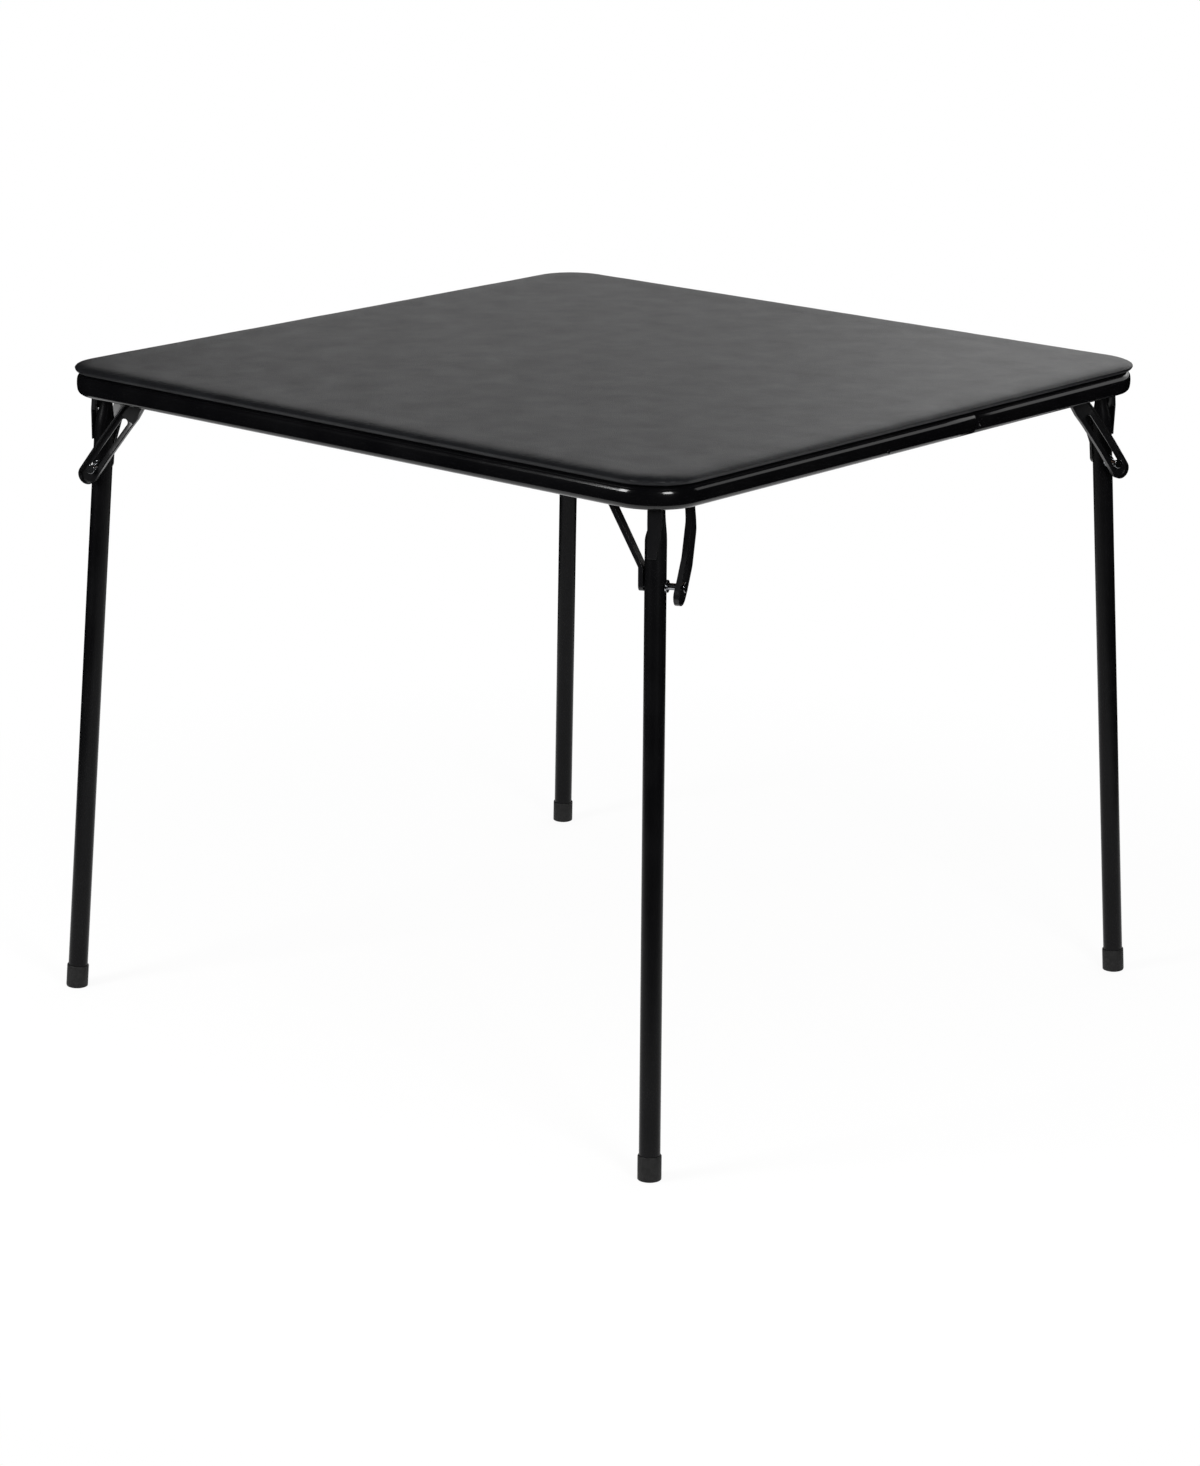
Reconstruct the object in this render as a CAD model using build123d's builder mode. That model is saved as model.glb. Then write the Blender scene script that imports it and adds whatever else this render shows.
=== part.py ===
from build123d import *
from math import atan2, cos, degrees, hypot, radians, sin, sqrt
import os

# Folding card table, 34 in square: a padded panel in a rolled steel rail, on four legs
# that fold flat beneath it. Millimetres, +Z up, origin on the floor under the centre.

# Overall sizes: the rail's outer side drives the pad, its layers and the leg places
rail_side = 860.0
table_height = 724.0
rail_corner = 55.0
pad_overhang = 2.0
pad_side = rail_side + 2 * pad_overhang
pad_corner = rail_corner + pad_overhang

# Pad: board, foam and the vinyl that wraps them
pad_height = 10.5
board_setback = 6.0
board_side = rail_side - 2 * board_setback
board_thickness = 3.5
foam_setback = 6.0
foam_side = board_side - 2 * foam_setback
foam_thickness = 4.2
hem_thickness = 1.0
hem_width = 18.0
pocket_clearance = 0.3
tightest_corner = 11.0
# Pad outline from the hem up to the crown: inset from the widest line, and height
pad_insets = (9.0, 3.0, 0.5, 0.0, 1.0, 4.0, 10.0, 22.0, 46.0, 200.0)
pad_height_shares = (0.0, 0.15, 0.34, 0.48, 0.65, 0.81, 0.905, 0.952, 0.981, 1.0)

# Rail: one rolled strip, bent round the four corners and butted on the front side
rail_height = 24.0
rail_gauge = 1.2
rail_bulge = 1.4
rail_top_flange = 16.0
rail_bottom_flange = 10.0
rail_top_round = 4.0
rail_bottom_round = 2.6
joint_from_corner = 337.0
joint_gap = 0.4
splice_length = 46.0
splice_height = 15.0
splice_gauge = 1.5
splice_rivet_offset = 9.0
button_radius = 2.4
button_flange_radius = 3.0
button_flange = 1.2
button_rise = 5.8
button_proud = 0.6
button_from_centre = 62.0

# Leg: a round tube with a pressed neck, splayed along the table's diagonal
splay = 4.0
fold_skew = 24.0
hinge_from_rail_sides = 39.0
hinge_below_rail_top = 14.5
tube_radius = 11.0
tube_wall = 1.0
neck_long = 14.0
neck_short = 12.0
neck_forward = 2.0
neck_aside = 2.5
neck_top = 6.0
neck_end = 16.0
neck_start = 46.0
cap_radius = 12.3
cap_height = 26.0
cap_sole = 4.2
cap_bevel = 0.8
cap_fit = 0.05

# Hinge: a rod across the corner, held by a stamped bracket under the rail's top flange
sheet = 1.6
rod_radius = 3.0
rod_head_radius = 4.6
rod_head = 1.8
running_gap = 0.05
side_gap = 0.5
ear_radius = 8.0
bracket_inset = 6.5
bracket_end_margin = 10.4
bracket_width = 29.0
bracket_rivet_margin = 5.5

# Stay: the stamped channel on the outside of the leg, which carries the hinge ears
stay_gauge = 1.5
stay_depth = 4.4
stay_end = 62.0
stay_channel_end = 28.0
stay_foot_width = 9.0
stay_standoff = 0.1

# Side brace: a channel from the hinge rod's far end down to the tube
brace_gauge = 1.5
brace_depth = 5.0
brace_top_radius = 7.0
brace_foot_radius = 6.0
brace_ear_side = 45.0
brace_ear_drop = 6.0
brace_bend_drop = 72.0
brace_standoff = 0.2

# Latch: a slotted link that slides on a stud through the tube
stud_drop = 90.0
stud_radius = 3.4
stud_flange_radius = 6.5
stud_flange = 2.0
stud_core_radius = 2.4
stud_reach = 31.0
stud_head_radius = 5.0
stud_head = 2.1
stud_tail_radius = 4.0
stud_tail = 1.8
sleeve_radius = 3.5
link_width = 22.0
link_gauge = 1.5
link_depth = 5.5
link_top_radius = 7.0
link_shoulder = 26.0
link_tail = 11.0
link_end_run = 8.0
slot_width = 8.0
slot_play = 0.5
pivot_inboard = 54.0
pivot_below_hinge = 5.0
pivot_radius = 2.5
pivot_head_radius = 4.2
pivot_head = 1.4
pivot_washer_radius = 7.0
pivot_washer = 1.4
window_clearance = 0.3
lug_side = 28.0
lug_margin = 4.4
lug_sill = 2.0
# Where the link's inner face runs: share of the way from pivot to stud, and side offset
link_path_shares = (-0.09, 0.08, 0.36, 0.74, 1.0, 1.22)
link_path_sides = (15.5, 15.5, 22.0, 24.8, 24.3, 22.8)
link_bend_radius = 60.0
# The link turns and slides at steady rates as its leg folds
link_turn_rate = 0.29
link_slide_rate = 40.0

# Small fasteners
rivet_radius = 2.0
rivet_head_radius = 3.8
rivet_head = 1.6
screw_radius = 1.45
screw_head_radius = 3.2
screw_head = 1.6
screw_bite = 2.6
screw_pitch_share = 0.29
hole_clearance = 0.1
overrun = 1.0

# Levels and half sizes worked out from the above
rail_half = rail_side / 2
rail_top = table_height - pad_height
rail_bottom = rail_top - rail_height
flange_under = rail_top - rail_gauge
board_under = rail_top + hem_thickness
board_top = board_under + board_thickness
foam_top = board_top + foam_thickness
hinge_height = rail_top - hinge_below_rail_top
flange_line = rail_half - (rail_top_flange + bracket_inset) / 2

# The front left corner's frame: x inward along the fold, y up the swing plane, and
# z along the hinge axis towards the latch link
fold_angle = 45.0 - fold_skew
fold_dir = Vector(cos(radians(fold_angle)), sin(radians(fold_angle)), 0)
outward = Vector(-sqrt(0.5), -sqrt(0.5), 0)
leg_down = outward * sin(radians(splay)) - Vector(0, 0, 1) * cos(radians(splay))
hinge_axis = leg_down.cross(fold_dir).normalized()
hinge_inset = rail_half - hinge_from_rail_sides
hinge_point = Vector(-hinge_inset, -hinge_inset, hinge_height)
swing = Plane(origin=hinge_point, x_dir=fold_dir, z_dir=hinge_axis)
leg_frame = Plane(origin=hinge_point, x_dir=hinge_axis.cross(leg_down), z_dir=-leg_down)
leg_side = Plane(origin=hinge_point, x_dir=leg_frame.x_dir, z_dir=hinge_axis)
leg_front = Plane(origin=hinge_point, x_dir=hinge_axis, z_dir=-leg_frame.x_dir)
leg_lean = atan2(-leg_down.dot(fold_dir), -leg_down.dot(swing.y_dir))
leg_length = hinge_height / cos(radians(splay))
fold_flat = 90.0 + degrees(leg_lean)

stud_x = -stud_drop * sin(leg_lean)
stud_y = -stud_drop * cos(leg_lean)
pivot_y = -pivot_below_hinge
link_span = hypot(stud_x - pivot_inboard, stud_y - pivot_y)
link_angle = degrees(atan2(stud_y - pivot_y, stud_x - pivot_inboard))


def link_pivot_place(turn):
    """Where the link's pivot has moved to when its leg has folded by turn degrees."""
    leg = radians(turn)
    link = radians(link_angle) + leg * (1 + link_turn_rate)
    reach = link_span - link_slide_rate * leg
    along = stud_drop * sin(leg - leg_lean) - reach * cos(link)
    up = -stud_drop * cos(leg - leg_lean) - reach * sin(link)
    return along, up


pivot_places = [link_pivot_place(fold_flat * step / 24) for step in range(25)]
pivot_x_low = min(place[0] for place in pivot_places)
pivot_x_high = max(place[0] for place in pivot_places)
pivot_y_low = min(place[1] for place in pivot_places)
pivot_y_high = max(place[1] for place in pivot_places)
stud_travel = link_slide_rate * radians(fold_flat)

hinge_lug_side = neck_aside + neck_short / 2 + stay_gauge + stay_standoff + side_gap
brace_outer_side = brace_ear_side + brace_depth
far_lug_side = -(brace_outer_side + side_gap)
# The hinge bracket reaches along both rails to just past its two lugs
far_lug_place = swing.from_local_coords((0, 0, far_lug_side - sheet))
near_lug_place = swing.from_local_coords((ear_radius, 0, hinge_lug_side + sheet))
bracket_reach = rail_half + far_lug_place.Y + bracket_end_margin
bracket_front_reach = rail_half + near_lug_place.X + bracket_end_margin

right_handed = {"front_left": 0, "rear_left": -90}
left_handed = {"front_right": 0, "rear_right": -90}

os.makedirs("parts", exist_ok=True)


def save(part, name):
    """Label a finished piece and write its STEP file."""
    part.label = name
    export_step(part, f"parts/{name}.step")


def save_at_corners(piece, name):
    """Write a corner piece four times: turned for the rear, mirrored for the right."""
    for corner, turn in (right_handed | left_handed).items():
        with BuildPart() as fitted:
            with Locations(Rotation(0, 0, turn)):
                add(piece.part)
            if corner in left_handed:
                mirror(about=Plane.YZ, mode=Mode.REPLACE)
        save(fitted.part, f"{corner}_{name}")


def lug_top(side):
    """Height of the middle of the bracket's sheet above the hinge axis, at one side."""
    return (flange_under - sheet / 2 - hinge_height - side * hinge_axis.Z) / swing.y_dir.Z


def at_corners(x, y):
    """The four places on the table that match one place at the front left."""
    return [(x, y), (y, -x), (-x, y), (-y, -x)]


# Rail
def rail_section(plane):
    """C section, open inward: a bulged face with a flange above and below."""
    with BuildSketch(plane) as section:
        with BuildLine():
            foot = Line((-rail_bottom_flange, rail_gauge), (-rail_bottom_flange, 0))
            sole = Line(foot @ 1, (-rail_bottom_round - rail_bulge, 0))
            low = RadiusArc(sole @ 1, (-rail_bulge, rail_bottom_round), -rail_bottom_round)
            face = ThreePointArc(
                low @ 1, (0, rail_height / 2), (-rail_bulge, rail_height - rail_top_round)
            )
            top = RadiusArc(
                face @ 1, (-rail_bulge - rail_top_round, rail_height), -rail_top_round
            )
            ledge = Line(top @ 1, (-rail_top_flange, rail_height))
            lip = Line(ledge @ 1, (-rail_top_flange, rail_height - rail_gauge))
            Line(lip @ 1, foot @ 0)
        make_face()
        with BuildLine():
            back = -rail_top_flange - overrun
            floor_line = Line((back, rail_gauge), (-rail_bulge - rail_bottom_round, rail_gauge))
            bend = Line(floor_line @ 1, (-rail_bulge - rail_gauge, rail_bottom_round))
            web = ThreePointArc(
                bend @ 1,
                (-rail_gauge, rail_height / 2),
                (-rail_bulge - rail_gauge, rail_height - rail_top_round),
            )
            shoulder = Line(
                web @ 1, (-rail_bulge - rail_top_round, rail_height - rail_gauge)
            )
            roof = Line(shoulder @ 1, (back, rail_height - rail_gauge))
            Line(roof @ 1, floor_line @ 0)
        make_face(mode=Mode.SUBTRACT)
    return section


hinge_rivet_places = [
    (-flange_line, -(rail_half - bracket_reach + bracket_rivet_margin)),
    (
        -(rail_half - rail_corner) - (flange_line - rail_half + rail_corner) * sqrt(0.5),
        -(rail_half - rail_corner) - (flange_line - rail_half + rail_corner) * sqrt(0.5),
    ),
    (-(rail_half - bracket_front_reach + bracket_rivet_margin), -flange_line),
]
lug_low = pivot_x_low - pivot_radius - window_clearance - lug_margin
lug_high = pivot_x_high + pivot_radius + window_clearance + lug_margin
lug_middle = lug_side + sheet / 2
lug_rise = lug_top(lug_middle)
lug_near = swing.from_local_coords((lug_low + sheet / 2, lug_rise, lug_middle))
lug_far = swing.from_local_coords((lug_high - sheet / 2, lug_rise, lug_middle))
link_rivet_places = [
    (lug_near.X + rivet_head_radius * 2, -flange_line),
    (lug_far.X - rivet_head_radius * 2, -flange_line),
]
bracket_rivet_places = [
    place for x, y in hinge_rivet_places + link_rivet_places for place in at_corners(x, y)
]
screw_places = [
    place
    for along in (-screw_pitch_share * rail_side, 0, screw_pitch_share * rail_side)
    for place in (
        (along, flange_line),
        (along, -flange_line),
        (flange_line, along),
        (-flange_line, along),
    )
]
joint_x = rail_half - joint_from_corner
splice_rivet_x = joint_x + joint_gap / 2 + splice_rivet_offset
splice_face = -rail_half + rail_gauge + rail_bulge
rail_middle = rail_bottom + rail_height / 2
button_planes = [
    Plane(
        origin=(-side * button_from_centre, -side * rail_half, rail_bottom + button_rise),
        x_dir=(side, 0, 0),
        z_dir=(0, -side, 0),
    )
    for side in (1, -1)
]

with BuildPart() as rail:
    with BuildLine(Plane.XY.offset(rail_bottom)) as rail_path:
        first = Line((rail_half, 0), (rail_half, rail_half - rail_corner))
        straight = first
        for _ in range(3):
            bend = JernArc(straight @ 1, straight % 1, rail_corner, 90)
            straight = Line(bend @ 1, bend @ 1 + (bend % 1) * (rail_side - 2 * rail_corner))
        bend = JernArc(straight @ 1, straight % 1, rail_corner, 90)
        Line(bend @ 1, first @ 0)
    start = Plane(origin=(rail_half, 0, rail_bottom), x_dir=(1, 0, 0), z_dir=(0, -1, 0))
    sweep(sections=rail_section(start).sketch, path=rail_path.line)
    with BuildSketch(Plane.XY.offset(flange_under - overrun)):
        with Locations(*bracket_rivet_places):
            Circle(rivet_radius + hole_clearance)
        with Locations(*screw_places):
            Circle(screw_radius + hole_clearance)
    extrude(amount=rail_gauge + 2 * overrun, mode=Mode.SUBTRACT)
    with BuildSketch(Plane.XZ.offset(splice_face * -1 - splice_gauge - overrun)):
        with Locations((splice_rivet_x, rail_middle)):
            Circle(rivet_radius + hole_clearance)
    extrude(amount=splice_gauge + rail_bulge + rail_gauge + 2 * overrun, mode=Mode.SUBTRACT)
    with BuildSketch(Plane.XY.offset(rail_bottom - overrun)):
        with Locations((joint_x, -rail_half)):
            Rectangle(joint_gap, 2 * rail_top_flange + 2 * overrun)
    extrude(amount=rail_height + 2 * overrun, mode=Mode.SUBTRACT)
    for plane in button_planes:
        with BuildSketch(plane):
            Circle(button_radius + hole_clearance)
        extrude(amount=rail_bulge + 2 * rail_gauge + overrun, both=True, mode=Mode.SUBTRACT)
save(rail.part, "frame_rail")

with BuildPart() as splice:
    with BuildSketch(Plane.XZ.offset(-splice_face - splice_gauge)):
        with Locations((joint_x, rail_middle)):
            Rectangle(splice_length, splice_height)
        with Locations((splice_rivet_x, rail_middle)):
            Circle(rivet_radius + hole_clearance, mode=Mode.SUBTRACT)
    extrude(amount=splice_gauge)
save(splice.part, "rail_splice_plate")

with BuildPart() as splice_rivet:
    with BuildSketch(Plane.XZ.offset(-splice_face - splice_gauge - rivet_head)):
        with Locations((splice_rivet_x, rail_middle)):
            Circle(rivet_head_radius)
    extrude(amount=rivet_head)
    with BuildSketch(Plane.XZ.offset(-splice_face - splice_gauge)):
        with Locations((splice_rivet_x, rail_middle)):
            Circle(rivet_radius)
    extrude(amount=splice_gauge + rail_bulge + rail_gauge + running_gap)
    with BuildSketch(Plane.XZ.offset(rail_half + running_gap)):
        with Locations((splice_rivet_x, rail_middle)):
            Circle(rivet_head_radius)
    extrude(amount=rivet_head / 2, taper=30)
save(splice_rivet.part, "rail_splice_rivet")

with BuildPart() as rail_rivets:
    for plane in button_planes:
        with BuildSketch(plane.offset(-rail_gauge - rail_bulge - button_flange)):
            Circle(button_flange_radius)
        extrude(amount=button_flange)
        with BuildSketch(plane.offset(-rail_gauge - rail_bulge)):
            Circle(button_radius)
        extrude(amount=rail_gauge + rail_bulge)
        with BuildSketch(plane):
            Circle(button_radius)
        extrude(amount=button_proud, taper=40)
save(rail_rivets.part, "rail_rivets")


# Pad
def rounded_square(side, corner, level):
    """A rounded square, centred on the table at one level."""
    with BuildSketch(Plane.XY.offset(level)) as outline:
        RectangleRounded(side, side, corner)
    return outline.sketch


with BuildPart() as board:
    with BuildSketch(Plane.XY.offset(board_under)):
        RectangleRounded(board_side, board_side, pad_corner - (pad_side - board_side) / 2)
        with Locations(*screw_places):
            Circle(screw_radius + hole_clearance, mode=Mode.SUBTRACT)
    extrude(amount=board_thickness)
save(board.part, "panel_board")

with BuildPart() as foam:
    with BuildSketch(Plane.XY.offset(board_top)):
        RectangleRounded(foam_side, foam_side, pad_corner - (pad_side - foam_side) / 2)
    extrude(amount=foam_thickness)
save(foam.part, "foam_pad")

with BuildPart() as cover:
    rings = [
        rounded_square(
            pad_side - 2 * inset,
            max(pad_corner - inset, tightest_corner),
            rail_top + share * pad_height,
        )
        for inset, share in zip(pad_insets, pad_height_shares)
    ]
    loft(rings, ruled=True)
    with BuildSketch(Plane.XY.offset(board_under)):
        pocket = board_side + 2 * pocket_clearance
        RectangleRounded(pocket, pocket, pad_corner - (pad_side - pocket) / 2)
    extrude(amount=board_thickness, mode=Mode.SUBTRACT)
    with BuildSketch(Plane.XY.offset(board_top)):
        pocket = foam_side + 2 * pocket_clearance
        RectangleRounded(pocket, pocket, pad_corner - (pad_side - pocket) / 2)
    extrude(amount=foam_thickness, mode=Mode.SUBTRACT)
    with BuildSketch(Plane.XY.offset(rail_top)):
        opening = board_side - 2 * hem_width
        RectangleRounded(opening, opening, pad_corner - (pad_side - opening) / 2)
    extrude(amount=hem_thickness, mode=Mode.SUBTRACT)
    with BuildSketch(Plane.XY.offset(rail_top)):
        with Locations(*screw_places):
            Circle(screw_radius + hole_clearance)
    extrude(amount=hem_thickness, mode=Mode.SUBTRACT)
save(cover.part, "vinyl_cover")

with BuildPart() as screws:
    with BuildSketch(Plane.XY.offset(flange_under - screw_head)):
        with Locations(*screw_places):
            Circle(screw_head_radius)
    extrude(amount=screw_head)
    with BuildSketch(Plane.XY.offset(flange_under)):
        with Locations(*screw_places):
            Circle(screw_radius)
    extrude(amount=board_under - flange_under + screw_bite)
save(screws.part, "panel_screws")

with BuildPart() as bracket_rivets:
    with BuildSketch(Plane.XY.offset(flange_under - sheet)):
        with Locations(*bracket_rivet_places):
            Circle(rivet_head_radius)
    extrude(amount=-rivet_head, taper=30)
    with BuildSketch(Plane.XY.offset(flange_under - sheet)):
        with Locations(*bracket_rivet_places):
            Circle(rivet_radius)
    extrude(amount=sheet + rail_gauge)
save(bracket_rivets.part, "bracket_rivets")


# Hinge bracket and rod
def lug(side):
    """A rounded ear round the hinge axis that rises into the bracket's base."""
    rise = lug_top(side)
    with BuildSketch(swing.offset(side)) as outline:
        Circle(ear_radius)
        with Locations((0, rise / 2)):
            Rectangle(2 * ear_radius, rise)
        Circle(rod_radius + running_gap, mode=Mode.SUBTRACT)
    return outline.sketch


base_under = flange_under - sheet
with BuildPart() as hinge_bracket:
    inner = rail_half - bracket_inset
    curve = rail_corner - bracket_inset
    near_edge = rail_half - bracket_reach
    front_edge = rail_half - bracket_front_reach
    extrude(lug(hinge_lug_side), amount=sheet)
    extrude(lug(far_lug_side), amount=-sheet)
    with BuildSketch(Plane.XY.offset(base_under)):
        with BuildLine():
            side_edge = Line((-inner, -near_edge), (-inner, -inner + curve))
            corner_edge = RadiusArc(side_edge @ 1, (-inner + curve, -inner), -curve)
            front_line = Line(corner_edge @ 1, (-front_edge, -inner))
            front_tip = Line(front_line @ 1, (-front_edge, -inner + bracket_width))
            inner_edge = Line(front_tip @ 1, (-inner + bracket_width, -near_edge))
            Line(inner_edge @ 1, side_edge @ 0)
        make_face()
        with Locations(*hinge_rivet_places):
            Circle(rivet_radius + hole_clearance, mode=Mode.SUBTRACT)
    extrude(amount=sheet)
save_at_corners(hinge_bracket, "hinge_bracket")

with BuildPart() as hinge_rod:
    rod_low = far_lug_side - sheet - running_gap
    rod_high = hinge_lug_side + sheet + running_gap
    with BuildSketch(swing.offset(rod_low)):
        Circle(rod_radius)
    extrude(amount=rod_high - rod_low)
    with BuildSketch(swing.offset(rod_low)):
        Circle(rod_head_radius)
    extrude(amount=-rod_head, taper=20)
    with BuildSketch(swing.offset(rod_high)):
        Circle(rod_head_radius)
    extrude(amount=rod_head, taper=20)
save_at_corners(hinge_rod, "hinge_rod")

# Link bracket: a windowed lug that guides the link's pivot
with BuildPart() as link_bracket:
    with BuildSketch(swing.offset(lug_side)):
        sill = pivot_y_low - pivot_radius - window_clearance - lug_sill
        with Locations(((lug_low + lug_high) / 2, (sill + lug_rise) / 2)):
            Rectangle(lug_high - lug_low, lug_rise - sill)
        with Locations(((pivot_x_low + pivot_x_high) / 2, (pivot_y_low + pivot_y_high) / 2)):
            RectangleRounded(
                pivot_x_high - pivot_x_low + 2 * (pivot_radius + window_clearance),
                pivot_y_high - pivot_y_low + 2 * (pivot_radius + window_clearance),
                pivot_radius,
                mode=Mode.SUBTRACT,
            )
    extrude(amount=sheet)
    with BuildSketch(Plane.XY.offset(base_under)):
        with BuildLine():
            Polyline(
                (lug_near.X, lug_near.Y),
                (lug_far.X, lug_far.Y),
                (lug_far.X, -rail_half + bracket_inset),
                (lug_near.X, -rail_half + bracket_inset),
                close=True,
            )
        make_face()
        with Locations(*link_rivet_places):
            Circle(rivet_radius + hole_clearance, mode=Mode.SUBTRACT)
    extrude(amount=sheet)
save_at_corners(link_bracket, "link_bracket")


# Leg
def neck_outline(level, shrink):
    """The pressed neck's section, set towards the fold and the link."""
    with BuildSketch(leg_frame.offset(level)) as outline:
        with Locations((neck_forward, -neck_aside)):
            Ellipse(neck_long / 2 - shrink, neck_short / 2 - shrink)
    return outline.sketch


def tube_outline(level, radius):
    """The round tube's section."""
    with BuildSketch(leg_frame.offset(level)) as outline:
        Circle(radius)
    return outline.sketch


tube_end = -(leg_length - cap_sole)
with BuildPart() as leg_tube:
    loft([tube_outline(-neck_start, tube_radius), neck_outline(-neck_end, 0)])
    extrude(tube_outline(-neck_start, tube_radius), amount=tube_end + neck_start)
    extrude(neck_outline(-neck_end, 0), amount=neck_end + neck_top)
    loft(
        [tube_outline(-neck_start, tube_radius - tube_wall), neck_outline(-neck_end, tube_wall)],
        mode=Mode.SUBTRACT,
    )
    extrude(
        tube_outline(-neck_start, tube_radius - tube_wall),
        amount=tube_end + neck_start,
        mode=Mode.SUBTRACT,
    )
    extrude(
        neck_outline(-neck_end, tube_wall), amount=neck_end + neck_top, mode=Mode.SUBTRACT
    )
    with BuildSketch(swing):
        Circle(rod_radius + running_gap)
    extrude(amount=tube_radius * 2, both=True, mode=Mode.SUBTRACT)
    with BuildSketch(swing):
        with Locations((stud_x, stud_y)):
            Circle(stud_radius + running_gap)
    extrude(amount=tube_radius + overrun, both=True, mode=Mode.SUBTRACT)
save_at_corners(leg_tube, "leg_tube")

with BuildPart() as foot_cap:
    extrude(tube_outline(-leg_length + cap_height, cap_radius), amount=-cap_height * 2)
    extrude(
        tube_outline(-leg_length + cap_height, tube_radius + cap_fit),
        amount=tube_end + leg_length - cap_height,
        mode=Mode.SUBTRACT,
    )
    split(bisect_by=Plane.XY, keep=Keep.TOP)
    chamfer(foot_cap.faces().sort_by(Axis.Z)[0].edges(), cap_bevel)
    chamfer(foot_cap.edges().group_by(Axis.Z)[-1].sort_by(SortBy.RADIUS)[-1], cap_bevel / 2)
save_at_corners(foot_cap, "foot_cap")

# Stay: channel ears at the hinge, then a flat strap down the tube's outside
stay_face = -tube_radius - stay_standoff
stay_half = neck_short / 2 + stay_gauge + stay_standoff
with BuildPart() as stay:
    with BuildSketch(leg_side.offset(neck_aside)):
        with Locations((stay_face - stay_gauge / 2, -stay_end / 2)):
            Rectangle(stay_gauge, stay_end)
        with Locations((stay_face - stay_gauge + stay_depth / 2, -stay_channel_end / 2)):
            Rectangle(stay_depth, stay_channel_end)
        with BuildLine():
            Polyline(
                (stay_face - stay_gauge, 0),
                (stay_face - stay_gauge, -2 * ear_radius),
                (stay_face - stay_gauge + stay_depth, -2 * ear_radius),
                (0, -ear_radius),
                (0, ear_radius),
                close=True,
            )
        make_face()
        Circle(ear_radius)
    extrude(amount=stay_half, both=True)
    pocket_width = neck_short + 2 * stay_standoff
    with BuildSketch(leg_frame.offset(neck_top + ear_radius)):
        with Locations((stay_face + tube_radius * 2, -neck_aside)):
            Rectangle(tube_radius * 4, pocket_width)
    extrude(amount=-stay_end - neck_top - ear_radius - overrun, mode=Mode.SUBTRACT)
    with BuildSketch(leg_front):
        with BuildLine():
            Polyline(
                (neck_aside - stay_half, ear_radius + overrun),
                (neck_aside + stay_half, ear_radius + overrun),
                (neck_aside + stay_half, -stay_channel_end),
                (stay_foot_width / 2, -stay_end),
                (-stay_foot_width / 2, -stay_end),
                (neck_aside - stay_half, -stay_channel_end),
                close=True,
            )
        make_face()
    extrude(amount=tube_radius * 2, both=True, mode=Mode.INTERSECT)
    with BuildSketch(swing):
        Circle(rod_radius + running_gap)
    extrude(amount=tube_radius * 2, both=True, mode=Mode.SUBTRACT)
save_at_corners(stay, "leg_stay")

# Side brace: ear on the rod's far end, foot held by the stud's tail
brace_face = -tube_radius - brace_standoff


def brace_band(near, far):
    """The brace seen from the table's centre, between two depths off its inner face."""
    with BuildSketch(leg_front) as band:
        with BuildLine():
            Polyline(
                (-brace_ear_side - near, 2 * brace_top_radius),
                (-brace_ear_side - near, -brace_ear_drop),
                (brace_face - near, -brace_bend_drop),
                (brace_face - near, -stud_drop - 2 * brace_foot_radius),
                (brace_face - far, -stud_drop - 2 * brace_foot_radius),
                (brace_face - far, -brace_bend_drop),
                (-brace_ear_side - far, -brace_ear_drop),
                (-brace_ear_side - far, 2 * brace_top_radius),
                close=True,
            )
        make_face()
    return band.sketch


def brace_outline(shrink):
    """The brace seen along the hinge axis: wide at the ear, narrower at the foot."""
    with BuildSketch(leg_side) as outline:
        Circle(brace_top_radius - shrink)
        with Locations((0, -stud_drop)):
            Circle(brace_foot_radius - shrink)
        make_hull()
    return outline.sketch


brace_span = brace_outer_side + overrun
with BuildPart() as brace_pocket:
    extrude(brace_band(brace_gauge, brace_depth + overrun), amount=brace_top_radius, both=True)
    extrude(brace_outline(brace_gauge), amount=-brace_span, mode=Mode.INTERSECT)

with BuildPart() as brace:
    extrude(brace_band(0, brace_depth), amount=brace_top_radius, both=True)
    extrude(brace_outline(0), amount=-brace_span, mode=Mode.INTERSECT)
    add(brace_pocket.part, mode=Mode.SUBTRACT)
    with BuildSketch(leg_side):
        Circle(rod_radius + running_gap)
    extrude(amount=-brace_span, mode=Mode.SUBTRACT)
    with BuildSketch(leg_side):
        with Locations((0, -stud_drop)):
            Circle(stud_radius + hole_clearance)
    extrude(amount=-brace_span, mode=Mode.SUBTRACT)
save_at_corners(brace, "side_brace")

# Latch stud and the sleeve that turns on it
flange_inner = tube_radius + brace_standoff / 4
flange_outer = flange_inner + stud_flange
head_inner = stud_reach - stud_head
tail_outer = brace_face - brace_gauge


stud_steps = [
    (tail_outer - stud_tail, tail_outer, stud_tail_radius),
    (tail_outer, flange_inner, stud_radius),
    (flange_inner, flange_outer, stud_flange_radius),
    (flange_outer, head_inner, stud_core_radius),
    (head_inner, stud_reach, stud_head_radius),
]
with BuildPart() as stud:
    for low, high, radius in stud_steps:
        with BuildSketch(leg_side.offset(low)):
            with Locations((0, -stud_drop)):
                Circle(radius)
        extrude(amount=high - low)
save_at_corners(stud, "latch_stud")

with BuildPart() as sleeve:
    with BuildSketch(leg_side.offset(flange_outer + hole_clearance)):
        with Locations((0, -stud_drop)):
            Circle(sleeve_radius)
            Circle(stud_core_radius + running_gap, mode=Mode.SUBTRACT)
    extrude(amount=head_inner - flange_outer - 2 * hole_clearance)
save_at_corners(sleeve, "latch_sleeve")

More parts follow.
